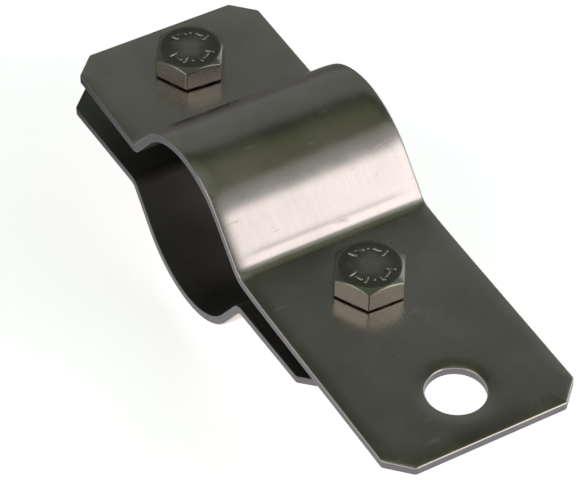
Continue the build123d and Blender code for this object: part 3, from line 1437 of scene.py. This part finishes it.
def floor_material(colour):
    """Pale floor that the eye and the metal see white, and that keeps the clamp's soft shadow.

    Behind the clamp the metal sees it fall off to grey.
    """
    material, tree = new_material("Floor")
    place = add_node(tree, "ShaderNodeTexCoord").outputs["Object"]
    depth = add_node(tree, "ShaderNodeSeparateXYZ", {"Vector": place}).outputs["Y"]
    rays = add_node(tree, "ShaderNodeLightPath").outputs
    near, far = FLOOR_FALL
    limits = {"Value": depth, "From Min": near, "From Max": far, "To Min": 1.0, "To Max": FLOOR_FALL_SHARE}
    behind = add_node(tree, "ShaderNodeMapRange", limits, interpolation_type="SMOOTHSTEP").outputs["Result"]
    fall = mixed(tree, "FLOAT", rays["Is Glossy Ray"], 1.0, behind)
    seen = combined(tree, "MAXIMUM", rays["Is Camera Ray"], rays["Is Glossy Ray"])
    seen = combined(tree, "MAXIMUM", seen, rays["Is Transmission Ray"])
    paper = mixed(tree, "RGBA", fall, (0, 0, 0, 1), (*colour, 1))
    matt = add_node(tree, "ShaderNodeBsdfDiffuse", {"Color": paper})
    strength = combined(tree, "MULTIPLY", spread(tree, seen, 0, FLOOR_GLOW), fall)
    glow = add_node(tree, "ShaderNodeEmission", {"Strength": strength})
    both = add_node(tree, "ShaderNodeAddShader", {0: matt.outputs["BSDF"], 1: glow.outputs["Emission"]})
    output = add_node(tree, "ShaderNodeOutputMaterial")
    tree.links.new(both.outputs["Shader"], output.inputs["Surface"])
    return material


def add_floor(settings):
    """Round, flat floor, low enough for the lower half when it has slid out."""
    bm = bmesh.new()
    bmesh.ops.create_circle(bm, cap_ends=True, segments=FLOOR_POINTS, radius=FLOOR_RADIUS)
    bmesh.ops.translate(bm, verts=bm.verts, vec=(0, 0, cad_box[0].z - SLIDE_OUT))
    mesh = bpy.data.meshes.new("Floor")
    bm.to_mesh(mesh)
    bm.free()
    mesh.materials.append(floor_material(settings.floor_colour))
    floor = bpy.data.objects.new("Floor", mesh)
    bpy.context.scene.collection.objects.link(floor)


def add_room(settings):
    """Dim room round the floor, with a dark band below its ceiling.

    The bands' levels are heights of a direction, from 0 along the floor to 1 straight up.
    """
    world = bpy.data.worlds.new("Dim room")
    world.use_nodes = True
    tree = world.node_tree
    direction = add_node(tree, "ShaderNodeTexCoord").outputs["Generated"]
    height = add_node(tree, "ShaderNodeSeparateXYZ", {"Vector": direction}).outputs["Z"]
    shade = add_node(tree, "ShaderNodeValToRGB", {"Fac": height})
    bands = [
        (0.0, settings.horizon_colour),
        (0.715, settings.wall_colour),
        (0.79, settings.cornice_colour),
        (0.84, settings.cornice_colour),
        (0.92, settings.slope_colour),
        (1.0, settings.ceiling_colour),
    ]
    ramp = shade.color_ramp
    while len(ramp.elements) < len(bands):
        ramp.elements.new(1.0)
    for stop, (level, colour) in zip(ramp.elements, bands):
        stop.position = level
        stop.color = (*colour, 1)
    tree.links.new(shade.outputs["Color"], tree.nodes["Background"].inputs["Color"])
    bpy.context.scene.world = world


def add_lamp(name, place, size, radiance, colour):
    """Soft rectangular lamp. Its radiance is how bright it looks, whatever its size."""
    data = bpy.data.lights.new(name, "AREA")
    data.shape = "RECTANGLE"
    data.size, data.size_y = size
    data.energy = radiance * math.pi * size[0] * size[1]
    data.color = colour
    lamp = bpy.data.objects.new(name, data)
    lamp.location = place
    lamp.rotation_euler = Vector(place).to_track_quat("Z", "Y").to_euler()
    lamp.visible_camera = False
    bpy.context.scene.collection.objects.link(lamp)


def add_camera(settings):
    """Camera at the photograph's viewing angle."""
    data = bpy.data.cameras.new("Camera")
    data.sensor_width = SENSOR_WIDTH
    data.lens = settings.lens
    data.clip_start, data.clip_end = CLIP
    camera = bpy.data.objects.new("Camera", data)
    camera.location = settings.camera_place
    look = Euler((math.pi / 2 - settings.elevation, 0, settings.azimuth), "XYZ").to_matrix()
    camera.rotation_euler = (look @ Matrix.Rotation(settings.roll, 3, "Z")).to_euler()
    bpy.context.scene.collection.objects.link(camera)
    bpy.context.scene.camera = camera


class ClampStudio(bpy.types.Operator):
    """Set the floor, the room, the lamps and the camera"""

    bl_idname = "clamp.studio"
    bl_label = "Set Studio"

    def execute(self, context):
        settings = context.scene.clamp_studio
        add_floor(settings)
        add_room(settings)
        for name, (place, size, radiance, colour) in LAMPS.items():
            add_lamp(name, place, size, radiance, colour)
        add_camera(settings)
        context.scene.view_settings.view_transform = "Standard"
        return {"FINISHED"}


OPERATORS = [ClampStudio, ClampStraps, ClampBolts, ClampNuts, ClampSpringWashers]


class ClampPanel(bpy.types.Panel):
    """Sidebar panel of the clamp's steps and settings"""

    bl_idname = "VIEW3D_PT_clamp"
    bl_label = "Pipe Clamp"
    bl_space_type = "VIEW_3D"
    bl_region_type = "UI"
    bl_category = "Pipe Clamp"

    def draw(self, context):
        layout = self.layout
        for operator in OPERATORS:
            layout.operator(operator.bl_idname)
        for name, group in SETTINGS.items():
            box = layout.box()
            for prop in group.bl_rna.properties:
                if prop.identifier not in ("rna_type", "name"):
                    box.prop(getattr(context.scene, name), prop.identifier)


CLASSES = [*SETTINGS.values(), *OPERATORS, ClampPanel]


def register():
    """Registers the classes and hangs the settings on the scene."""
    for cls in CLASSES:
        bpy.utils.register_class(cls)
    for name, group in SETTINGS.items():
        setattr(bpy.types.Scene, name, PointerProperty(type=group))


def unregister():
    """Takes the settings and the classes away again."""
    for name in SETTINGS:
        delattr(bpy.types.Scene, name)
    for cls in reversed(CLASSES):
        bpy.utils.unregister_class(cls)


def main():
    """Registers the add-on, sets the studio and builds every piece."""
    register()
    bpy.ops.clamp.studio()
    bpy.ops.clamp.straps()
    bpy.ops.clamp.bolts()
    bpy.ops.clamp.nuts()
    bpy.ops.clamp.spring_washers()


if __name__ == "__main__":
    main()
